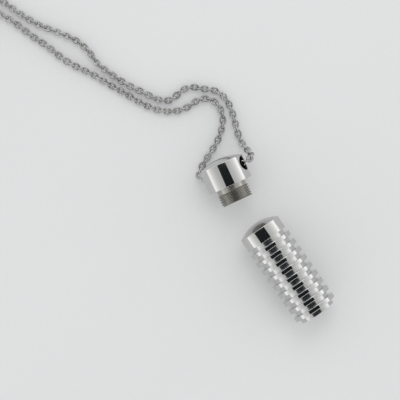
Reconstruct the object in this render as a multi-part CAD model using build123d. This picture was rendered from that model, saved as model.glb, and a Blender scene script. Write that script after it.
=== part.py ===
from build123d import *
import math
import os

# Screw-top cryptex capsule on a neck chain, lying open on a table. Millimetres.
# Origin: centre of the capsule's mouth. +X leaves the mouth along the capsule's axis, +Z is up.

# dial rings, whose outside is the capsule's overall diameter, and their wire snap rings
RING_COUNT = 9
RING_DIA = 13.0
RING_HEIGHT = 1.3
RING_WIDTH = 1.3
RING_SPACING = 2.65
RING_EDGE = 0.16
RING_PLAY = 0.05
SNAP_WIRE = 0.30
SNAP_SEAT_PLAY = 0.02
SNAP_GAP_DEG = 24.0

# capsule core
BAND_STEP = 0.25
BAND_LENGTH = 3.65
BAND_EDGE = 0.12
DOME_RISE = 1.9
NECK_LENGTH = 1.18
END_WALL = 2.6
BORE_END_RADIUS = 0.5
MOUTH_WALL = 0.4
MOUTH_BORE_LENGTH = 0.9

# screw thread
THREAD_PITCH = 0.75
THREAD_LENGTH = 3.4
THREAD_LEAD_IN = 0.25
THREAD_PLAY = 0.06
THREAD_ROOT_GAP = 0.165
THREAD_LEDGE = 0.38
THREAD_OVERLAP = 0.05
THREAD_SPARE = 0.5
THREAD_SEAM_STEP = 36
THREAD_MATCH = 0.1
FLANK_DEG = 30.0
MOUTH_PLAY = 0.125
RELIEF_STEP = 0.015
RELIEF_LENGTH = 1.3
SEAT_PLAY = 0.05

# screw cap
CAP_STEP = 0.05
CAP_DOME = 1.6
CAP_EDGE = 0.12
CROSS_HOLE_DIA = 4.2
CROSS_HOLE_TILT = 22.0
CROSS_HOLE_EDGE = 0.1
SHOULDER_TO_HOLE = 2.15
HOLE_TO_DOME = 0.35

# where the cap lies, and how the two halves come together
CAP_FROM_TIP = 12.52
CAP_ASIDE = 0.25
CAP_TURN = -10.0
SWING_ANGLE = 170.0
APPROACH_GAP = 2.2

# chain: width over its links, its way round the table, and the put-away coil
# a third number in a point is its height above where the chain lies on the table
CHAIN_DIA = 2.0
HOLE_PLAY = 0.05
CHAIN_IN_CAP_LEFT = [(9.2, -4.0, 0), (6.8, -7.0, 0)]
CHAIN_IN_CAP_RIGHT = [(5.0, 8.9, 4.9), (6.3, 8.8, 2.1), (8.5, 8.3, 0), (11.0, 7.9, 0)]
HOLE_LEFT_REACH = 7.6
HOLE_RIGHT_REACH = 7.5
JOINT_RUN = 2.0
ARC_SHARE = 0.45
LEFT_STRAND = [
    (-54.8, 3.0), (-56.7, 6.3), (-59.4, 9.2), (-62.9, 10.7), (-66.5, 9.9), (-68.5, 6.9),
    (-68.1, 3.2), (-69.2, -0.6), (-72.0, -4.2), (-76.3, -7.0), (-81.6, -9.3), (-86.5, -11.7),
    (-91.1, -13.6), (-95.4, -16.2), (-99.9, -18.3), (-105.0, -19.6), (-110.2, -21.8),
    (-115.8, -23.4), (-121.6, -26.0), (-127.4, -28.8),
]
RIGHT_STRAND = [
    (-57.9, 11.9), (-61.5, 13.2), (-65.5, 13.3), (-68.5, 11.7), (-70.4, 9.1), (-72.7, 7.1),
    (-73.3, 3.9), (-72.3, 0.6), (-74.4, -2.5), (-79.0, -4.9), (-83.6, -7.6), (-88.6, -9.5),
    (-93.0, -11.0), (-97.2, -10.8), (-101.6, -11.8), (-106.3, -14.6), (-111.3, -18.2),
    (-116.6, -20.7), (-121.8, -22.4),
]
RIGHT_CLIMB = [(-126.4, -24.5, 0.4), (-130.9, -27.3, 2.0)]
RIGHT_LANDING_DEG = (10, 24)
LEFT_TAIL = [(10.48, 3.0, 0), (8.17, 5.94, 0), (5.77, 5.97, 0), (4.25, 4.25, 0.2)]
RIGHT_TAIL = [(-9.97, 0.35, 2.0), (-9.2, -2.4, 2.0), (-7.3, -3.4, 1.1), (-5.4, -1.8, 0.1)]
COIL_CENTRE = (-129.0, -45.0)
COIL_RADIUS = 14.6
COIL_GAP = 0.1
COIL_START_DEG = 106.0
LEFT_COIL_TURNS = 1.75
RIGHT_COIL_TURNS = 2.2

# lobster clasp, drawn flat with its tail at -X and its gate side at +Y
CLASP_OFFSET = (1.26, -1.87)
CLASP_HEADING = 244.0
CLASP_THICKNESS = 1.8
CLASP_HEAD_RADIUS = 2.5
CLASP_HEAD_X = 1.9
CLASP_TAIL_RADIUS = 1.15
CLASP_TAIL_X = -3.9
CLASP_EYE_RADIUS = 1.35
CLASP_EYE_X = 2.1
CLASP_EDGE = 0.2
TAIL_EYE_RADIUS = 0.65
TAIL_THICKNESS = 1.0
TAIL_STEP_X = -2.9
GATE_FROM = 0.5
GATE_TO = 2.6
LEVER_SLOT = 1.1
LEVER_SLOT_FROM = -2.6
LEVER_SLOT_FLOOR = -0.35
LEVER_PLAY = 0.08
LEVER_TIP_GAP = 0.28
PIVOT_X = -1.2
PIVOT_Y = 0.75
LEVER_HUB_RADIUS = 0.7
LEVER_TIP_RADIUS = 0.35
LEVER_TIP_Y = 1.75
TAB_X = -0.5
TAB_WIDTH = 0.9
TAB_REACH = 3.2
RIVET_DIA = 0.6
RIVET_PLAY = 0.03
SPRING_WIRE = 0.22
SPRING_REACH = 0.4
SPRING_RISE = 0.5
SPRING_PLAY = 0.03

# plain rings at the chain's ends
JUMP_RING_DIA = 3.0
END_RING_DIA = 3.6
LOOP_WIRE = 0.5
JUMP_RING_TILT = 60.0
JUMP_RING_LIFT = 0.02
END_RING_OFFSET = (-4.2, -0.6)

FLOOR = -RING_DIA / 2
CORE_DIA = RING_DIA - 2 * RING_HEIGHT
BAND_DIA = RING_DIA - 2 * BAND_STEP
SNAP_RADIUS = CORE_DIA / 2 + RING_PLAY / 2
TUBE_LENGTH = NECK_LENGTH + RING_COUNT * RING_SPACING
CAPSULE_LENGTH = TUBE_LENGTH + BAND_LENGTH + DOME_RISE

THREAD_DEPTH = 0.6134 * THREAD_PITCH
THREAD_CREST = THREAD_PITCH / 8
FLANK_SLOPE = math.tan(math.radians(FLANK_DEG))
MOUTH_BORE_DIA = CORE_DIA - 2 * MOUTH_WALL
THREAD_DIA = MOUTH_BORE_DIA - 2 * MOUTH_PLAY
THREAD_ROOT_DIA = THREAD_DIA - 2 * THREAD_DEPTH
RELIEF_DIA = THREAD_ROOT_DIA - 2 * RELIEF_STEP
STUB_LENGTH = RELIEF_LENGTH + THREAD_LENGTH
FEMALE_MINOR_DIA = THREAD_ROOT_DIA + 2 * THREAD_ROOT_GAP
BORE_DIA = FEMALE_MINOR_DIA - 2 * THREAD_LEDGE
BORE_DEPTH = TUBE_LENGTH + BAND_LENGTH - END_WALL

CAP_DIA = RING_DIA - 2 * CAP_STEP
CROSS_HOLE_RISE = SHOULDER_TO_HOLE + CROSS_HOLE_DIA / 2
CAP_SIDE = SHOULDER_TO_HOLE + CROSS_HOLE_DIA + HOLE_TO_DOME
CAP_DIRECTION = Vector(1, 0, 0).rotate(Axis.Z, CAP_TURN)
CAP_SIDEWAYS = Vector(0, 1, 0).rotate(Axis.Z, CAP_TURN)
SHOULDER = Vector(-CAPSULE_LENGTH - CAP_FROM_TIP, CAP_ASIDE, 0)
PUSH = STUB_LENGTH + APPROACH_GAP - SEAT_PLAY
SCREW_TURN = 360 * PUSH / THREAD_PITCH

CHAIN_Z = FLOOR + CHAIN_DIA / 2
COIL_STEP = CHAIN_DIA + COIL_GAP
JUMP_RING_MEAN = (JUMP_RING_DIA - LOOP_WIRE) / 2
JUMP_RING_RISE = JUMP_RING_MEAN * math.sin(math.radians(JUMP_RING_TILT)) + LOOP_WIRE / 2
UPRIGHT = (Align.CENTER, Align.CENTER, Align.MIN)


def swing_pole():
    """The upright axis about which the capsule swings until its mouth faces the cap's thread."""
    mouth = SHOULDER + CAP_DIRECTION * (STUB_LENGTH + APPROACH_GAP)
    half = math.radians(SWING_ANGLE) / 2
    return mouth * 0.5 + Vector(-mouth.Y, mouth.X, 0) * (0.5 / math.tan(half))


POLE = swing_pole()


def rod(dia, start, end):
    """A round bar on the X axis from start to end."""
    return Pos(start, 0, 0) * Rot(0, 90, 0) * Cylinder(dia / 2, end - start, align=UPRIGHT)


def dome_curve(tip, rise, radius):
    """The arc of a shallow dome in the XY plane, from its tip on the X axis to its rim."""
    sphere = (radius**2 + rise**2) / (2 * rise)
    half_way = math.asin(radius / sphere) / 2
    middle = (tip + sphere * (1 - math.cos(half_way)), sphere * math.sin(half_way))
    return ThreePointArc((tip, 0), middle, (tip + rise, radius))


def domed_bar(radius, tip, rise, end, edge):
    """A round bar on the X axis with a domed end at tip and softened rims."""
    outline = make_face(
        [
            dome_curve(tip, rise, radius),
            Line((tip + rise, radius), (end, radius)),
            Line((end, radius), (end, 0)),
            Line((end, 0), (tip, 0)),
        ]
    )
    bar = revolve(outline, Axis.X)
    rims = bar.edges().filter_by(GeomType.CIRCLE).filter_by(lambda e: abs(e.radius - radius) < 1e-4)
    return fillet(rims, edge)


def cap_place(solid):
    """Move a solid drawn on the X axis, shoulder at 0 and thread along +X, to where the cap lies."""
    return Pos(*SHOULDER) * Rot(0, 0, CAP_TURN) * solid


def cap_point(rise, side, up):
    """A point by its rise above the shoulder, its distance to the cap's side and its height."""
    return SHOULDER - CAP_DIRECTION * rise + CAP_SIDEWAYS * side + Vector(0, 0, up)


def as_if_closed(solid):
    """Carry a solid from where the cap lies to where it sits in the capsule's own mouth."""
    pushed = Pos(*(CAP_DIRECTION * PUSH)) * cap_place(solid)
    swung_back = Pos(*POLE) * Rot(0, 0, -SWING_ANGLE) * Pos(*(-POLE)) * pushed
    return Rot(-SCREW_TURN, 0, 0) * swung_back


def helical_bar(radius, half_inner, half_outer, depth, start, end):
    """A bar wound right-handed on the X axis, from one pitch before start to one pitch past end.

    Its section is a trapezoid that stands on the given radius.
    """
    helix = Helix(pitch=THREAD_PITCH, height=end - start + 2 * THREAD_PITCH, radius=radius)
    section = Plane(origin=helix @ 0, x_dir=(1, 0, 0), z_dir=helix % 0)
    flanks = [(0, -half_inner), (depth, -half_outer), (depth, half_outer), (0, half_inner)]
    bar = sweep(section * make_face(Polyline(*flanks, close=True)), path=helix, is_frenet=True)
    return Pos(start - THREAD_PITCH, 0, 0) * Rot(0, 90, 0) * bar


def wound_volume(half_narrow, depth, inner_dia, length):
    """The volume of a thread's ridge or groove: its trapezoid section along its turns."""
    section = depth * (2 * half_narrow + depth * FLANK_SLOPE)
    return section * math.pi * (inner_dia + depth) * length / THREAD_PITCH


def with_thread(bar, combine, added):
    """The round bar combined with a helical one, checked by the volume that it adds.

    A boolean can fail where the bar's seam meets the helix's ends, so other seams follow.
    """
    for seam in range(0, 360, THREAD_SEAM_STEP):
        try:
            solid = combine(Rot(seam, 0, 0) * bar)
        except ValueError:
            continue
        if solid.is_valid and abs(solid.volume - bar.volume - added) < THREAD_MATCH * abs(added):
            return solid
    raise ValueError("the thread does not join its bar at any seam")


def cap_thread():
    """The male thread: a blank with a lead-in, and the groove between its turns cut away."""
    blank = rod(THREAD_DIA, RELIEF_LENGTH, STUB_LENGTH)
    blank = chamfer(blank.edges().group_by(Axis.X)[-1], THREAD_LEAD_IN)
    half_floor = (THREAD_PITCH - THREAD_CREST) / 2 - THREAD_DEPTH * FLANK_SLOPE
    depth = THREAD_DEPTH + THREAD_OVERLAP
    half_open = half_floor + depth * FLANK_SLOPE
    groove = helical_bar(THREAD_ROOT_DIA / 2, half_floor, half_open, depth, RELIEF_LENGTH, STUB_LENGTH)
    chips = wound_volume(half_floor, THREAD_DEPTH, THREAD_ROOT_DIA, THREAD_LENGTH)
    return Rot(180, 0, 0) * with_thread(blank, lambda bar: bar - groove, -chips)


def mouth_thread_cutter():
    """The cap's thread grown by its play, from the mouth inwards, as a solid to cut away."""
    half_crest = THREAD_CREST / 2 + THREAD_PLAY / math.cos(math.radians(FLANK_DEG))
    crest = THREAD_DIA / 2 + THREAD_PLAY
    height = crest - FEMALE_MINOR_DIA / 2
    depth = height + THREAD_OVERLAP
    half_root = half_crest + depth * FLANK_SLOPE
    start = RELIEF_LENGTH - math.ceil(RELIEF_LENGTH / THREAD_PITCH) * THREAD_PITCH
    end = STUB_LENGTH + THREAD_SPARE
    ridge = helical_bar(crest - depth, half_root, half_crest, depth, start, end)
    ridge &= rod(3 * crest, start, end)
    outside = wound_volume(half_crest, height, FEMALE_MINOR_DIA, end - start)
    return with_thread(rod(FEMALE_MINOR_DIA, start, end), lambda bar: bar + ridge, outside)


def ring_centre(number):
    """Where a ring sits on the X axis, number 1 being next to the closed end."""
    return -NECK_LENGTH - RING_WIDTH / 2 - (RING_COUNT - number) * RING_SPACING


def snap_groove(x, wire_dia):
    return revolve(Plane.XY * Pos(x, SNAP_RADIUS) * Circle(wire_dia / 2), Axis.X)


def make_core():
    core = domed_bar(BAND_DIA / 2, -CAPSULE_LENGTH, DOME_RISE, -TUBE_LENGTH, BAND_EDGE)
    core += rod(CORE_DIA, -TUBE_LENGTH - BAND_LENGTH / 2, 0)
    bore = rod(BORE_DIA, -BORE_DEPTH, 1)
    core -= fillet(bore.edges().group_by(Axis.X)[0], BORE_END_RADIUS)
    core -= as_if_closed(mouth_thread_cutter())
    core -= rod(MOUTH_BORE_DIA, -MOUTH_BORE_LENGTH, 1)
    for number in range(1, RING_COUNT + 1):
        core -= snap_groove(ring_centre(number), SNAP_WIRE + 2 * SNAP_SEAT_PLAY)
    return core


def make_ring(number):
    x = ring_centre(number)
    ring = rod(RING_DIA, x - RING_WIDTH / 2, x + RING_WIDTH / 2)
    ring = fillet(ring.edges().filter_by(GeomType.CIRCLE), RING_EDGE)
    ring -= rod(CORE_DIA + 2 * RING_PLAY, x - RING_WIDTH, x + RING_WIDTH)
    return ring - snap_groove(x, SNAP_WIRE + 2 * RING_PLAY)


def make_snap_ring(number):
    section = Plane.XY * Pos(ring_centre(number), SNAP_RADIUS) * Circle(SNAP_WIRE / 2)
    return revolve(section, Axis.X, revolution_arc=360 - SNAP_GAP_DEG)


def hole_direction():
    return CAP_SIDEWAYS.rotate(Axis(origin=(0, 0, 0), direction=CAP_DIRECTION), CROSS_HOLE_TILT)


def make_cap():
    cap = cap_place(domed_bar(CAP_DIA / 2, -CAP_SIDE - CAP_DOME, CAP_DOME, 0, CAP_EDGE))
    middle = cap_point(CROSS_HOLE_RISE, 0, 0)
    bar = Cylinder(CROSS_HOLE_DIA / 2, 2 * CAP_DIA)
    cap -= Plane(origin=middle, z_dir=hole_direction()).location * bar
    mouths = cap.edges().filter_by(lambda e: edge_near_hole(e, middle))
    cap = fillet(mouths, CROSS_HOLE_EDGE)
    cap += cap_place(rod(RELIEF_DIA, -CAP_EDGE, RELIEF_LENGTH + THREAD_PITCH))
    return cap + cap_place(cap_thread())


def edge_near_hole(edge, middle):
    """True for the two closed rims where the cross hole meets the cap's side."""
    reach = (edge.center(CenterOf.BOUNDING_BOX) - middle).dot(hole_direction())
    return edge.geom_type != GeomType.CIRCLE and edge.length > CROSS_HOLE_DIA and abs(reach) > 1


def arc_radii(points):
    """One radius for each corner, as large as the two runs beside it allow."""
    radii = []
    for before, corner, after in zip(points, points[1:], points[2:]):
        run_in = corner - before
        run_out = after - corner
        turn = math.radians(run_in.get_angle(run_out))
        shorter = min(run_in.length, run_out.length)
        radii.append(ARC_SHARE * shorter / math.tan(turn / 2))
    return radii


def chain_tube(name, points):
    """A round tube along straight runs joined by tangent arcs."""
    points = [Vector(*p) for p in points]
    radii = arc_radii(points)
    path = FilletPolyline(*points, radius=radii)
    tube = sweep(Plane(path ^ 0) * Circle(CHAIN_DIA / 2), path=path)
    expected = path.length * math.pi * CHAIN_DIA**2 / 4
    print(f"{name}: {path.length:.1f} mm, volume {tube.volume / expected:.3f} of section x length")
    print("  radii", " ".join(f"{r:.1f}" for r in radii))
    return tube


def in_cap_points():
    """The chain's way up from the table on one side, through the cross hole and down on the other."""
    sag = CROSS_HOLE_DIA / 2 - CHAIN_DIA / 2 - HOLE_PLAY
    low = Vector(0, 0, -1) - hole_direction() * Vector(0, 0, -1).dot(hole_direction())
    middle = cap_point(CROSS_HOLE_RISE, 0, 0) + low.normalized() * sag
    inside = [middle - hole_direction() * HOLE_LEFT_REACH, middle + hole_direction() * HOLE_RIGHT_REACH]
    left = [cap_point(rise, side, CHAIN_Z + up) for rise, side, up in CHAIN_IN_CAP_LEFT]
    right = [cap_point(rise, side, CHAIN_Z + up) for rise, side, up in CHAIN_IN_CAP_RIGHT]
    return left + inside + right


def run_on(before, end):
    """Two points that carry a straight run on past its end."""
    return [end, end + (end - before).normalized() * JOINT_RUN]


def on_floor(points):
    return [Vector(x, y, CHAIN_Z) for x, y in points]


def above_floor(points):
    return [Vector(x, y, CHAIN_Z + up) for x, y, up in points]


def coil_point(turned_deg, height):
    """A point on the coil's spiral, by the angle wound since the strand reached it."""
    radius = COIL_RADIUS - COIL_STEP * turned_deg / 360
    angle = math.radians(COIL_START_DEG + turned_deg)
    x = COIL_CENTRE[0] + radius * math.cos(angle)
    y = COIL_CENTRE[1] + radius * math.sin(angle)
    return Vector(x, y, height)


def coil_solid(turns, layer):
    """The outer shape of one strand's turns, as a flat washer."""
    outer = COIL_RADIUS + CHAIN_DIA / 2
    inner = COIL_RADIUS - COIL_STEP * turns - CHAIN_DIA / 2
    washer = Cylinder(outer, CHAIN_DIA, align=UPRIGHT) - Cylinder(inner, CHAIN_DIA, align=UPRIGHT)
    return Pos(COIL_CENTRE[0], COIL_CENTRE[1], FLOOR + layer * CHAIN_DIA) * washer


def in_coil(offset, height):
    """A place by its offset from the middle of the coil and its height."""
    return Pos(COIL_CENTRE[0] + offset[0], COIL_CENTRE[1] + offset[1], height)


def tail_points(points):
    return [point + Vector(*COIL_CENTRE) for point in above_floor(points)]


def clasp_place(solid):
    """Lay the clasp in the coil, as high as the ring in its tail eye holds it off the table."""
    middle = FLOOR + JUMP_RING_RISE + JUMP_RING_LIFT
    return in_coil(CLASP_OFFSET, middle) * Rot(0, 0, CLASP_HEADING) * solid


def plate(outline, thickness):
    return extrude(outline, thickness / 2, both=True)


def make_clasp_body():
    ends = Pos(CLASP_HEAD_X, 0) * Circle(CLASP_HEAD_RADIUS) + Pos(CLASP_TAIL_X, 0) * Circle(
        CLASP_TAIL_RADIUS
    )
    outline = make_hull(ends.edges())
    body = plate(outline, CLASP_THICKNESS)
    body = fillet(body.faces().filter_by(Axis.Z).edges(), CLASP_EDGE)
    for side in (1, -1):
        step = Box(CLASP_HEAD_RADIUS, 2 * CLASP_HEAD_RADIUS, CLASP_THICKNESS, align=Align.MAX)
        corner = Pos(TAIL_STEP_X, CLASP_HEAD_RADIUS, TAIL_THICKNESS / 2 + CLASP_THICKNESS)
        body -= (corner if side > 0 else Rot(180, 0, 0) * corner) * step
    body -= Pos(CLASP_EYE_X, 0, 0) * Cylinder(CLASP_EYE_RADIUS, 2 * CLASP_THICKNESS)
    body -= Pos(CLASP_TAIL_X, 0, 0) * Cylinder(TAIL_EYE_RADIUS, 2 * CLASP_THICKNESS)
    gate = Rectangle(GATE_TO - GATE_FROM, CLASP_HEAD_RADIUS * 2, align=(Align.MIN, Align.MIN))
    body -= plate(Pos(GATE_FROM, CLASP_EYE_RADIUS / 2) * gate, 2 * CLASP_THICKNESS)
    slot = Rectangle(GATE_FROM - LEVER_SLOT_FROM + 1, 4, align=(Align.MIN, Align.MIN))
    body -= plate(Pos(LEVER_SLOT_FROM, LEVER_SLOT_FLOOR) * slot, LEVER_SLOT)
    return body - Pos(PIVOT_X, PIVOT_Y, 0) * Cylinder(RIVET_DIA / 2, 2 * CLASP_THICKNESS)


def make_clasp_lever():
    tip_x = GATE_TO - LEVER_TIP_RADIUS - LEVER_TIP_GAP
    arm_ends = Pos(PIVOT_X, PIVOT_Y) * Circle(LEVER_HUB_RADIUS)
    arm_ends += Pos(tip_x, LEVER_TIP_Y) * Circle(LEVER_TIP_RADIUS)
    arm = make_hull(arm_ends.edges())
    tab = Rectangle(TAB_WIDTH, TAB_REACH - PIVOT_Y, align=(Align.CENTER, Align.MIN))
    lever = plate(arm + Pos(TAB_X, PIVOT_Y) * tab, LEVER_SLOT - 2 * LEVER_PLAY)
    hole = Cylinder(RIVET_DIA / 2 + RIVET_PLAY, 2 * CLASP_THICKNESS)
    return lever - Pos(PIVOT_X, PIVOT_Y, 0) * hole


def make_rivet():
    return Pos(PIVOT_X, PIVOT_Y, 0) * Cylinder(RIVET_DIA / 2, CLASP_THICKNESS)


def make_clasp_spring():
    """A bent wire that presses the lever's hub from the floor of its slot."""
    low = LEVER_SLOT_FLOOR + SPRING_WIRE / 2 + SPRING_PLAY
    back = LEVER_SLOT_FROM + SPRING_WIRE / 2 + SPRING_PLAY
    hub = PIVOT_X - LEVER_HUB_RADIUS - SPRING_WIRE
    route = [
        (PIVOT_X + SPRING_REACH, low, 0),
        (back, low, 0),
        (back, PIVOT_Y, 0),
        (hub, PIVOT_Y + SPRING_RISE, 0),
    ]
    path = FilletPolyline(*route, radius=SPRING_WIRE)
    return sweep(Plane(path ^ 0) * Circle(SPRING_WIRE / 2), path=path)


def make_jump_ring():
    """The ring through the clasp's tail eye, leaning so that it clears the table."""
    wire = Rot(JUMP_RING_TILT, 0, 0) * Torus(JUMP_RING_MEAN, LOOP_WIRE / 2)
    return clasp_place(Pos(CLASP_TAIL_X - JUMP_RING_MEAN, 0, 0) * wire)


def make_end_ring():
    return in_coil(END_RING_OFFSET, FLOOR + LOOP_WIRE / 2) * Torus(
        (END_RING_DIA - LOOP_WIRE) / 2, LOOP_WIRE / 2
    )


def main():
    os.makedirs("parts", exist_ok=True)
    nodes = {"capsule_core": make_core()}
    for number in range(1, RING_COUNT + 1):
        nodes[f"ring_{number}"] = make_ring(number)
        nodes[f"snap_ring_{number}"] = make_snap_ring(number)
    nodes["screw_cap"] = make_cap()

    in_cap = in_cap_points()
    nodes["chain_through_cap"] = chain_tube("chain_through_cap", in_cap)
    left = run_on(in_cap[1], in_cap[0]) + on_floor(LEFT_STRAND) + [coil_point(0, CHAIN_Z)]
    right = run_on(in_cap[-2], in_cap[-1]) + on_floor(RIGHT_STRAND)
    right += above_floor(RIGHT_CLIMB)
    right += [coil_point(turned, CHAIN_Z + CHAIN_DIA) for turned in RIGHT_LANDING_DEG]
    nodes["chain_left"] = chain_tube("chain_left", left)
    nodes["chain_left"] += chain_tube("chain_left tail", tail_points(LEFT_TAIL))
    nodes["chain_right"] = chain_tube("chain_right", right)
    nodes["chain_right"] += chain_tube("chain_right tail", tail_points(RIGHT_TAIL))
    nodes["coil_left"] = coil_solid(LEFT_COIL_TURNS, 0)
    nodes["coil_right"] = coil_solid(RIGHT_COIL_TURNS, 1)

    nodes["clasp_body"] = clasp_place(make_clasp_body())
    nodes["clasp_lever"] = clasp_place(make_clasp_lever())
    nodes["clasp_rivet"] = clasp_place(make_rivet())
    nodes["clasp_spring"] = clasp_place(make_clasp_spring())
    nodes["clasp_jump_ring"] = make_jump_ring()
    nodes["end_ring"] = make_end_ring()

    for name, solid in nodes.items():
        solid.label = name
        export_step(solid, f"parts/{name}.step")
    print(f"pole {POLE.X:.4f} {POLE.Y:.4f}, push {PUSH:.3f}, screw turn {SCREW_TURN:.2f} degrees")


main()
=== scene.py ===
import math
import random

import bmesh
import bpy
from mathutils import Matrix, Vector


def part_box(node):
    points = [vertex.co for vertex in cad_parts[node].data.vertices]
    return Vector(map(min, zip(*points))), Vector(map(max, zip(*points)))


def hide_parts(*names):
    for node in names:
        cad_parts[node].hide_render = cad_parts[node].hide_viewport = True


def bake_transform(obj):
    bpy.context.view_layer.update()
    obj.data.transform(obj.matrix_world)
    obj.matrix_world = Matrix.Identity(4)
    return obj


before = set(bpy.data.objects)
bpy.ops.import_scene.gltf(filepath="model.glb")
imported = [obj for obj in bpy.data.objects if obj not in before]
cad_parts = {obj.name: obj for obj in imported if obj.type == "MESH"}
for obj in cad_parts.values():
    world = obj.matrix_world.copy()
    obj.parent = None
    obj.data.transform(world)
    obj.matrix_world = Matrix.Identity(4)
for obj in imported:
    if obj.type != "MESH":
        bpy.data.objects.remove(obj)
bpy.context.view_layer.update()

mm = 0.001
print("frame loaded")

# where things are, from the CAD frame: +X out of the mouth, +Z up
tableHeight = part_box("ring_5")[0][2]
ringNumbers = range(1, 10)
ringSpacing = (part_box("ring_9")[0][0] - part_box("ring_1")[0][0]) / (len(ringNumbers) - 1)
ringMiddle = (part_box("ring_9")[0][0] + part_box("ring_9")[1][0]) / 2
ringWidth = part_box("ring_9")[1][0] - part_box("ring_9")[0][0]
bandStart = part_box("ring_1")[0][0] - (ringSpacing - ringWidth)

capSeat = {
    "shoulder": Vector((-43.1, 0.25, 0)) * mm,
    "turn": -10,
    "holeRise": 4.25 * mm,
    "holeTilt": 22,
    "holeRadius": 2.1 * mm,
    "chainSag": 1.05 * mm,
}
capAlong = Matrix.Rotation(math.radians(capSeat["turn"]), 3, "Z") @ Vector((1, 0, 0))
capAside = Matrix.Rotation(math.radians(capSeat["turn"]), 3, "Z") @ Vector((0, 1, 0))
holeAlong = Matrix.Rotation(math.radians(capSeat["holeTilt"]), 3, capAlong) @ capAside
holeMiddle = capSeat["shoulder"] - capAlong * capSeat["holeRise"]


# camera, straight down over the cap's end of the capsule

cameraSet = {
    "over": Vector((-44.7, -9.1, 0)) * mm,
    "height": 0.45,
    "right": Vector((0.571, 0.821, 0)).normalized(),
    "span": 0.112,
    "sensor": 36,
    "nearest": 0.01,
}


def placeCamera():
    data = bpy.data.cameras.new("camera")
    data.sensor_width = cameraSet["sensor"]
    data.lens = cameraSet["sensor"] * cameraSet["height"] / cameraSet["span"]
    data.clip_start = cameraSet["nearest"]
    camera = bpy.data.objects.new("camera", data)
    bpy.context.scene.collection.objects.link(camera)
    back = Vector((0, 0, 1))
    turn = Matrix((cameraSet["right"], back.cross(cameraSet["right"]), back)).transposed()
    place = Matrix.Translation(cameraSet["over"] + back * cameraSet["height"])
    camera.matrix_world = place @ turn.to_4x4()
    bpy.context.scene.camera = camera
    bpy.context.scene.view_settings.view_transform = "Standard"


placeCamera()
print("camera placed")


# chain: cable links of oval wire, along the routes that its tubes have in the CAD

chainSet = {
    "diameter": 2.0 * mm,
    "linkLength": 2.6 * mm,
    "linkWidth": 2.0 * mm,
    "wire": 0.52 * mm,
    "pitch": 1.45 * mm,
    "wireSides": 6,
    "endSteps": 5,
    "routeSteps": 8,
    "routeOrder": 3,
    "sway": 16,
    "swayTurns": 0.11,
    "jitter": 6,
    "seed": 11,
}
floorLine = tableHeight + chainSet["diameter"] / 2
upperLine = floorLine + chainSet["diameter"]
coilSet = {
    "centre": Vector((-129.0, -45.0, 0)) * mm,
    "radius": 14.6 * mm,
    "step": 2.1 * mm,
    "startAngle": 106,
    "pointAngle": 20,
}

leftStrand = [
    (-54.8, 3.0), (-56.7, 6.3), (-59.4, 9.2), (-62.9, 10.7), (-66.5, 9.9), (-68.5, 6.9),
    (-68.1, 3.2), (-69.2, -0.6), (-72.0, -4.2), (-76.3, -7.0), (-81.6, -9.3), (-86.5, -11.7),
    (-91.1, -13.6), (-95.4, -16.2), (-99.9, -18.3), (-105.0, -19.6), (-110.2, -21.8),
    (-115.8, -23.4), (-121.6, -26.0), (-127.4, -28.8),
]
rightStrand = [
    (-57.9, 11.9), (-61.5, 13.2), (-65.5, 13.3), (-68.5, 11.7), (-70.4, 9.1), (-72.7, 7.1),
    (-73.3, 3.9), (-72.3, 0.6), (-74.4, -2.5), (-79.0, -4.9), (-83.6, -7.6), (-88.6, -9.5),
    (-93.0, -11.0), (-97.2, -10.8), (-101.6, -11.8), (-106.3, -14.6), (-111.3, -18.2),
    (-116.6, -20.7), (-121.8, -22.4),
]
rightClimb = [(-126.4, -24.5, 0.4), (-130.9, -27.3, 2.0)]
leftTail = [(8.17, 5.94, 0), (5.77, 5.97, 0), (4.25, 4.25, 0.2)]
rightTail = [(-9.2, -2.4, 2.0), (-7.3, -3.4, 1.1), (-5.4, -1.8, 0.1)]


def overTable(points, middle=Vector()):
    # a third number is a height above the line on which the chain lies
    return [
        Vector((p[0] * mm, p[1] * mm, floorLine + (p[2] * mm if len(p) > 2 else 0))) + middle
        for p in points
    ]


def byCap(points):
    # from a rise above the shoulder, a distance to the side and a height
    return [
        capSeat["shoulder"] - capAlong * rise * mm + capAside * side * mm
        + Vector((0, 0, floorLine + up * mm))
        for rise, side, up in points
    ]


def inHole(reach):
    low = Vector((0, 0, -1)) - holeAlong * Vector((0, 0, -1)).dot(holeAlong)
    return holeMiddle + low.normalized() * capSeat["chainSag"] + holeAlong * reach * mm


def coilTurns(first, last, height):
    steps = round((last - first) / coilSet["pointAngle"])
    points = []
    for step in range(steps + 1):
        turned = first + (last - first) * step / steps
        radius = coilSet["radius"] - coilSet["step"] * turned / 360
        angle = math.radians(coilSet["startAngle"] + turned)
        across = Vector((radius * math.cos(angle), radius * math.sin(angle), height))
        points.append(coilSet["centre"] + across)
    return points


def routeLine(name, points):
    # the points that a smooth curve with these control points passes through
    curve = bpy.data.curves.new(name, "CURVE")
    curve.dimensions = "3D"
    curve.resolution_u = chainSet["routeSteps"]
    spline = curve.splines.new("NURBS")
    spline.points.add(len(points) - 1)
    for point, place in zip(spline.points, points):
        point.co = (*place, 1)
    spline.order_u = chainSet["routeOrder"]
    spline.use_endpoint_u = True
    holder = bpy.data.objects.new(name, curve)
    bpy.context.scene.collection.objects.link(holder)
    bpy.context.view_layer.update()
    mesh = bpy.data.meshes.new_from_object(holder)
    line = [vertex.co.copy() for vertex in mesh.vertices]
    bpy.data.objects.remove(holder)
    bpy.data.curves.remove(curve)
    bpy.data.meshes.remove(mesh)
    return line


def lineLength(line):
    return sum((b - a).length for a, b in zip(line, line[1:]))


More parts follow.
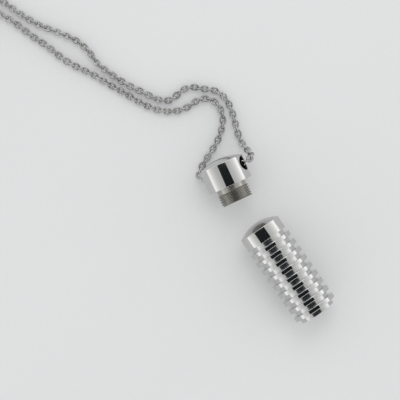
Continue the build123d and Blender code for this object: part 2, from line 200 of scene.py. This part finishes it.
def walk(line, start, pitch):
    # evenly spaced places along a line, each with the line's direction there
    places = []
    due = start
    gone = 0.0
    for a, b in zip(line, line[1:]):
        run = (b - a).length
        while due <= gone + run:
            places.append(a.lerp(b, (due - gone) / run))
            due += pitch
        gone += run
    ahead = places[1:] + [places[-1] * 2 - places[-2]]
    behind = [places[0] * 2 - places[1]] + places[:-1]
    return [(place, (a - b).normalized()) for place, a, b in zip(places, ahead, behind)]


def makeLink():
    # one oval link of round wire, flat in the XY plane and long on X
    radius = chainSet["wire"] / 2
    bend = chainSet["linkWidth"] / 2 - radius
    straight = (chainSet["linkLength"] - chainSet["linkWidth"]) / 2
    bm = bmesh.new()
    place = Matrix.Translation((straight, bend, 0)) @ Matrix.Rotation(math.pi / 2, 4, "Y")
    bmesh.ops.create_circle(bm, segments=chainSet["wireSides"], radius=radius, matrix=place)
    firstLoop = bm.edges[:]
    loop = firstLoop
    for side in (1, -1):
        turned = bmesh.ops.spin(
            bm, geom=loop, cent=(side * straight, 0, 0), axis=(0, 0, 1), angle=-math.pi,
            steps=chainSet["endSteps"], use_merge=False, use_duplicate=False,
        )
        loop = [g for g in turned["geom_last"] if isinstance(g, bmesh.types.BMEdge)]
        if side == 1:
            drawn = bmesh.ops.extrude_edge_only(bm, edges=loop)["geom"]
            ends = [g for g in drawn if isinstance(g, bmesh.types.BMVert)]
            bmesh.ops.translate(bm, verts=ends, vec=(-2 * straight, 0, 0))
            edges = [g for g in drawn if isinstance(g, bmesh.types.BMEdge)]
            loop = [edge for edge in edges if all(v in ends for v in edge.verts)]
    bmesh.ops.bridge_loops(bm, edges=loop + firstLoop)
    bmesh.ops.recalc_face_normals(bm, faces=bm.faces)
    for face in bm.faces:
        face.smooth = True
    mesh = bpy.data.meshes.new("link")
    bm.to_mesh(mesh)
    bm.free()
    return mesh


def makeChain(name, line, start, firstRoll):
    link = makeLink()
    dice = random.Random(chainSet["seed"] + firstRoll)
    bm = bmesh.new()
    tone = bm.verts.layers.float.new("tone")
    places = walk(line, start, chainSet["pitch"])
    for number, (place, along) in enumerate(places):
        side = along.cross(Vector((0, 0, 1))).normalized()
        flat = Matrix((along, side, along.cross(side))).transposed()
        sway = chainSet["sway"] * math.sin(number * chainSet["swayTurns"] + firstRoll)
        roll = firstRoll + 90 * (number % 2) + sway + dice.uniform(-1, 1) * chainSet["jitter"]
        turn = flat @ Matrix.Rotation(math.radians(roll), 3, "X")
        before = len(bm.verts)
        bm.from_mesh(link)
        bm.verts.ensure_lookup_table()
        added = bm.verts[before:]
        bmesh.ops.transform(bm, matrix=Matrix.Translation(place) @ turn.to_4x4(), verts=added)
        shade = dice.random()
        for vertex in added:
            vertex[tone] = shade
    mesh = bpy.data.meshes.new(name)
    bm.to_mesh(mesh)
    bm.free()
    bpy.data.meshes.remove(link)
    chain = bpy.data.objects.new(name, mesh)
    bpy.context.scene.collection.objects.link(chain)
    print(name, len(places), "links,", round(lineLength(line) / mm), "mm")
    return chain


leftPoints = [inHole(0), inHole(-7.6)] + byCap([(6.8, -7.0, 0), (9.2, -4.0, 0)])
leftPoints += overTable(leftStrand) + coilTurns(0, 630, floorLine) + overTable(leftTail, coilSet["centre"])
rightPoints = [inHole(0), inHole(7.5)]
rightPoints += byCap([(5.0, 8.9, 4.9), (6.3, 8.8, 2.1), (8.5, 8.3, 0), (11.0, 7.9, 0)])
rightPoints += overTable(rightStrand) + overTable(rightClimb)
rightPoints += coilTurns(10, 792, upperLine) + overTable(rightTail, coilSet["centre"])
leftLine = routeLine("leftLine", leftPoints)
rightLine = routeLine("rightLine", rightPoints)
halfPitch = chainSet["pitch"] / 2
leftChain = makeChain("left_chain_links", leftLine, halfPitch, 0)
rightChain = makeChain("right_chain_links", rightLine, halfPitch, 90)
print("chain laid")


studioSet = {
    "tableSize": 3.0,
    # the paper's glow is painted light, which makes the shadows on the table fainter
    "paperPaintedGlow": 0.10,
    "cardHeight": 0.33,
    "card": [(-0.078, -0.116), (-0.032, 0.133), (0.16, 0.14), (0.16, -0.25), (-0.02, -0.25)],
    "tent": [
        (0.0, 0.60), (0.05, 0.93), (0.17, 0.97), (0.30, 0.80), (0.50, 0.62), (0.80, 0.46), (1.0, 0.41),
    ],
    "tentStrength": 1.6,
    "tentLean": 0.05,
    "keyPower": 1.2,
    "keySize": 0.5,
    "keyPlace": Vector((-0.45, 0.35, 0.8)),
}


# surface finishes


class Wire:
    def __init__(self, finish, socket):
        self.finish = finish
        self.socket = socket

    def __add__(self, other):
        return self.finish.sum("ADD", self, other)

    def __sub__(self, other):
        return self.finish.sum("SUBTRACT", self, other)

    def __rsub__(self, other):
        return self.finish.sum("SUBTRACT", other, self)

    def __mul__(self, other):
        return self.finish.sum("MULTIPLY", self, other)

    __radd__ = __add__
    __rmul__ = __mul__


class Finish:
    def __init__(self, name, fixed, tree=None):
        if tree is None:
            self.material = bpy.data.materials.new(name)
            self.material.use_nodes = True
            tree = self.material.node_tree
            self.shader = tree.nodes["Principled BSDF"]
            for key, value in fixed.items():
                self.shader.inputs[key].default_value = value
        self.tree = tree

    def node(self, kind, settings, sockets, output=0):
        node = self.tree.nodes.new("ShaderNode" + kind)
        for key, value in settings.items():
            if key == "stops":
                ramp = node.color_ramp
                while len(ramp.elements) < len(value):
                    ramp.elements.new(0.5)
                for element, (place, shade) in zip(ramp.elements, value):
                    element.position = place
                    element.color = (*shade, 1) if isinstance(shade, tuple) else (shade, shade, shade, 1)
            else:
                setattr(node, key, value)
        for key, value in sockets.items():
            self.feed(node.inputs[key], value)
        return Wire(self, node.outputs[output])

    def feed(self, socket, value):
        if isinstance(value, Wire):
            self.tree.links.new(value.socket, socket)
        else:
            socket.default_value = value

    def sum(self, operation, a, b):
        return self.node("Math", {"operation": operation}, {0: a, 1: b})

    def place(self):
        return self.node("TexCoord", {}, {}, "Object")

    def scaled(self, scale):
        return self.node("Mapping", {}, {"Vector": self.place(), "Scale": scale})

    def noise(self, scale, detail=2.0, rough=0.5, stretch=(1, 1, 1)):
        spread = tuple(scale * s for s in stretch)
        sockets = {"Vector": self.scaled(spread), "Scale": 1.0, "Detail": detail, "Roughness": rough}
        return self.node("TexNoise", {}, sockets)

    def step(self, value, low, high):
        # 0 below low, 1 above high, smooth between
        settings = {"interpolation_type": "SMOOTHSTEP", "clamp": True}
        return self.node("MapRange", settings, {"Value": value, "From Min": low, "From Max": high})

    def mix(self, share, a, b):
        sockets = {"Factor": share, 6: a, 7: b}
        return self.node("Mix", {"data_type": "RGBA", "clamp_factor": True}, sockets, 2)

    def dot(self, vector, direction):
        return self.node("VectorMath", {"operation": "DOT_PRODUCT"}, {0: vector, 1: direction}, "Value")

    def axis(self, letter):
        return self.node("SeparateXYZ", {}, {"Vector": self.place()}, letter)

    def bump(self, height, strength, depth):
        return self.node("Bump", {}, {"Height": height, "Strength": strength, "Distance": depth})

    def dress(self, **links):
        for key, value in links.items():
            name = {"color": "Base Color", "roughness": "Roughness", "normal": "Normal"}[key]
            self.feed(self.shader.inputs[name], value)
        return self.material


steel = {
    "bright": (0.57, 0.57, 0.56, 1),
    "cool": (0.52, 0.53, 0.54, 1),
    "turned": (0.53, 0.53, 0.52, 1),
    "warm": (0.36, 0.35, 0.32, 1),
    "paintedBoreShade": (0.13, 0.125, 0.115, 1),
    "worn": (0.27, 0.27, 0.265, 1),
    "wire": (0.45, 0.45, 0.44, 1),
}
metal = {"Metallic": 1.0}
polish = {
    "rough": 0.02,
    "bump": 0.14,
    "depth": 0.012 * mm,
    "edgeWear": 0.22 * mm,
    "seam": 0.02 * mm,
    "shoulder": 0.03 * mm,
    "drillEdge": 0.05 * mm,
}


def polishMarks(finish, hairStretch):
    # broad smears, fine hairlines and a few specks, as hand polishing leaves them
    smear = finish.noise(260, 3.0, 0.6)
    hair = finish.noise(900, 2.0, 0.7, hairStretch)
    speck = finish.step(finish.noise(2600, 1.0, 0.4), 0.70, 0.78)
    return smear, hair, speck


def polishBump(finish, height):
    return finish.bump(height, polish["bump"], polish["depth"])


def edgeWear(finish, fromMiddle, edge):
    # nicks that gather where a ring's rim is knocked
    rim = finish.step(fromMiddle, edge - polish["edgeWear"], edge)
    return rim * finish.step(finish.noise(1500, 3.0, 0.6), 0.52, 0.66)


def ringOffset(finish):
    # how far a point is from the middle of the ring that it belongs to, along X
    turns = (finish.axis("X") - ringMiddle) * (1 / ringSpacing) + 20.5
    part = finish.node("Math", {"operation": "FRACT"}, {0: turns}) - 0.5
    return finish.node("Math", {"operation": "ABSOLUTE"}, {0: part}) * ringSpacing


def ringFinish():
    finish = Finish("mirror_rings", metal)
    smear, hair, speck = polishMarks(finish, (6, 0.35, 0.35))
    wear = edgeWear(finish, ringOffset(finish), ringWidth / 2)
    color = finish.mix(smear * 0.6 + wear * 0.4, steel["bright"], steel["cool"])
    rough = polish["rough"] + smear * 0.03 + hair * 0.015 + speck * 0.05 + wear * 0.15
    height = smear * 0.5 + hair * 0.15 - wear * 0.5
    return finish.dress(color=color, roughness=rough, normal=polishBump(finish, height))


def coreFinish():
    # polished closed end, turned satin grooves between the rings, plain bore
    finish = Finish("turned_core", metal)
    x = finish.axis("X")
    satin = finish.step(x, bandStart - polish["seam"], bandStart + polish["seam"])
    smear, hair, speck = polishMarks(finish, (3, 0.5, 0.5))
    lathe = finish.node(
        "TexWave",
        {"wave_type": "BANDS", "bands_direction": "X", "wave_profile": "SIN"},
        {"Vector": finish.place(), "Scale": 3400.0, "Distortion": 1.2, "Detail": 2.0, "Detail Scale": 1.5},
    )
    color = finish.mix(satin * (0.55 + 0.45 * lathe), steel["bright"], steel["turned"])
    rough = polish["rough"] + smear * 0.03 + speck * 0.05 + satin * (0.09 + 0.05 * lathe + 0.04 * hair)
    height = smear * 0.25 + satin * lathe * 0.5 + hair * 0.1
    return finish.dress(color=color, roughness=rough, normal=polishBump(finish, height))


def capFinish():
    # mirror cap; its neck, thread and cross hole are as machined, and the inside of the cross hole is also
    # darkened nearly to black as painted shade
    finish = Finish("mirror_cap", metal)
    fromShoulder = finish.dot(finish.place(), tuple(capAlong)) - capSeat["shoulder"].dot(capAlong)
    machined = finish.step(fromShoulder, -polish["shoulder"], polish["shoulder"])
    away = finish.node("VectorMath", {"operation": "SUBTRACT"}, {0: finish.place(), 1: tuple(holeMiddle)})
    across = finish.node("VectorMath", {"operation": "CROSS_PRODUCT"}, {0: away, 1: tuple(holeAlong)})
    reach = finish.node("VectorMath", {"operation": "LENGTH"}, {0: across}, "Value")
    drilled = 1 - finish.step(reach, capSeat["holeRadius"], capSeat["holeRadius"] + polish["drillEdge"])
    smear, hair, speck = polishMarks(finish, (1, 1, 1))
    raw = finish.node("Math", {"operation": "MAXIMUM"}, {0: machined, 1: drilled})
    chatter = finish.noise(5200, 2.0, 0.5)
    color = finish.mix(raw * (0.75 + 0.25 * chatter), steel["bright"], steel["warm"])
    # painted shade: the inside of the cross hole is darkened nearly to black
    color = finish.mix(drilled * (0.8 + 0.2 * chatter), color, steel["paintedBoreShade"])
    rough = polish["rough"] + smear * 0.025 + speck * 0.04 + machined * (0.16 + 0.1 * chatter) + drilled * 0.3
    height = smear * 0.3 + hair * 0.1 + raw * chatter * 0.5
    return finish.dress(color=color, roughness=rough, normal=polishBump(finish, height))


def chainFinish():
    finish = Finish("chain_links", metal)
    tone = finish.node("Attribute", {"attribute_name": "tone"}, {}, "Fac")
    tumble = finish.noise(1700, 3.0, 0.6)
    color = finish.mix(0.5 * tone + 0.7 * tumble, steel["bright"], steel["worn"])
    rough = 0.05 + 0.04 * tone + 0.06 * tumble
    return finish.dress(color=color, roughness=rough, normal=finish.bump(tumble, 0.2, 0.02 * mm))


def claspFinish():
    finish = Finish("cast_clasp", metal)
    smear, hair, speck = polishMarks(finish, (1, 1, 1))
    ripple = finish.noise(700, 2.0, 0.5)
    color = finish.mix(0.7 * ripple, steel["bright"], steel["cool"])
    rough = 0.07 + smear * 0.08 + speck * 0.12
    height = ripple * 0.8 + hair * 0.2
    return finish.dress(color=color, roughness=rough, normal=finish.bump(height, 0.3, 0.03 * mm))


def springFinish():
    finish = Finish("drawn_wire", metal)
    draw = finish.noise(3000, 2.0, 0.6)
    color = finish.mix(draw, steel["wire"], steel["worn"])
    rough = 0.2 + 0.15 * draw
    return finish.dress(color=color, roughness=rough, normal=finish.bump(draw, 0.2, 0.01 * mm))


def paperFinish():
    # the paper glows a little: painted light that fills in and fades the shadows cast on the table
    fixed = {
        "Specular IOR Level": 0.1,
        "Emission Color": (1, 1, 1, 1),
        "Emission Strength": studioSet["paperPaintedGlow"],
    }
    finish = Finish("table_paper", fixed)
    fibre = finish.noise(900, 5.0, 0.7)
    cloud = finish.noise(14, 3.0, 0.5)
    color = finish.mix(0.5 * fibre + 0.5 * cloud, (0.62, 0.625, 0.63, 1), (0.68, 0.685, 0.69, 1))
    return finish.dress(color=color, roughness=0.6 + 0.2 * fibre, normal=finish.bump(fibre, 0.12, 0.1 * mm))


def cover(name, material):
    # the material goes into every slot of a node or piece
    piece = bpy.data.objects[name]
    if not piece.material_slots:
        piece.data.materials.append(material)
    for slot in piece.material_slots:
        slot.material = material


finishes = {
    "rings": ringFinish(),
    "core": coreFinish(),
    "cap": capFinish(),
    "chain": chainFinish(),
    "clasp": claspFinish(),
    "spring": springFinish(),
    "paper": paperFinish(),
}
for number in ringNumbers:
    cover(f"ring_{number}", finishes["rings"])
    cover(f"snap_ring_{number}", finishes["spring"])
for name in ("clasp_body", "clasp_lever", "clasp_rivet", "clasp_jump_ring", "end_ring"):
    cover(name, finishes["clasp"])
cover("clasp_spring", finishes["spring"])
cover("capsule_core", finishes["core"])
cover("screw_cap", finishes["cap"])
cover("left_chain_links", finishes["chain"])
cover("right_chain_links", finishes["chain"])
print("finishes made")


# the CAD's own chain pieces are hidden, and the laid chains have their transforms baked

clasp = ["clasp_body", "clasp_lever", "clasp_rivet", "clasp_spring", "clasp_jump_ring"]
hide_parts("chain_through_cap", "chain_left", "coil_left")
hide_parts("chain_right", "coil_right")
for chain, line, mouth, end in (
    (leftChain, leftLine, inHole(-6.0), [bpy.data.objects[name] for name in clasp]),
    (rightChain, rightLine, inHole(6.0), [bpy.data.objects["end_ring"]]),
):
    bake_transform(chain)
    lineLength(line)


# table, light and what the steel mirrors

def makeSheet(name, material, corners):
    bm = bmesh.new()
    bm.faces.new([bm.verts.new(corner) for corner in corners])
    mesh = bpy.data.meshes.new(name)
    bm.to_mesh(mesh)
    bm.free()
    mesh.materials.append(material)
    sheet = bpy.data.objects.new(name, mesh)
    bpy.context.scene.collection.objects.link(sheet)
    return sheet


def makeTable():
    half = studioSet["tableSize"] / 2
    corners = [(-half, -half), (half, -half), (half, half), (-half, half)]
    makeSheet("table", finishes["paper"], [(x, y, tableHeight) for x, y in corners])


def makeCard():
    # a dark card overhead, which the steel mirrors as a black strip along its top
    finish = Finish("dark_card", {"Base Color": (0.008, 0.012, 0.016, 1), "Roughness": 0.9})
    corners = [(x, y, studioSet["cardHeight"]) for x, y in studioSet["card"]]
    card = makeSheet("dark_card", finish.material, corners)
    card.visible_camera = False
    card.visible_shadow = False
    card.visible_diffuse = False


def makeTent():
    # a white tent, brightest low down on its walls
    world = bpy.data.worlds.new("tent")
    bpy.context.scene.world = world
    world.use_nodes = True
    tree = world.node_tree
    tent = Finish("tent", {}, tree)
    toward = tent.node("TexCoord", {}, {}, "Generated")
    up = tent.node("SeparateXYZ", {}, {"Vector": toward}, "Z")
    wall = tent.node("ValToRGB", {"stops": studioSet["tent"]}, {"Fac": up})
    lean = tent.dot(toward, tuple(cameraSet["right"])) * studioSet["tentLean"] + 1
    grey = tent.node("CombineXYZ", {}, {"X": lean, "Y": lean, "Z": lean})
    settings = {"data_type": "RGBA", "blend_type": "MULTIPLY"}
    lit = tent.node("Mix", settings, {"Factor": 1.0, 6: wall, 7: grey}, 2)
    background = tree.nodes["Background"]
    background.inputs["Strength"].default_value = studioSet["tentStrength"]
    tree.links.new(lit.socket, background.inputs["Color"])


def makeKey():
    data = bpy.data.lights.new("key", "AREA")
    data.shape = "SQUARE"
    data.size = studioSet["keySize"]
    data.energy = studioSet["keyPower"]
    key = bpy.data.objects.new("key", data)
    bpy.context.scene.collection.objects.link(key)
    place = cameraSet["over"] + studioSet["keyPlace"]
    key.location = place
    key.rotation_euler = (place - cameraSet["over"]).to_track_quat("Z", "Y").to_euler()


makeTable()
makeCard()
makeTent()
makeKey()
print("studio set")
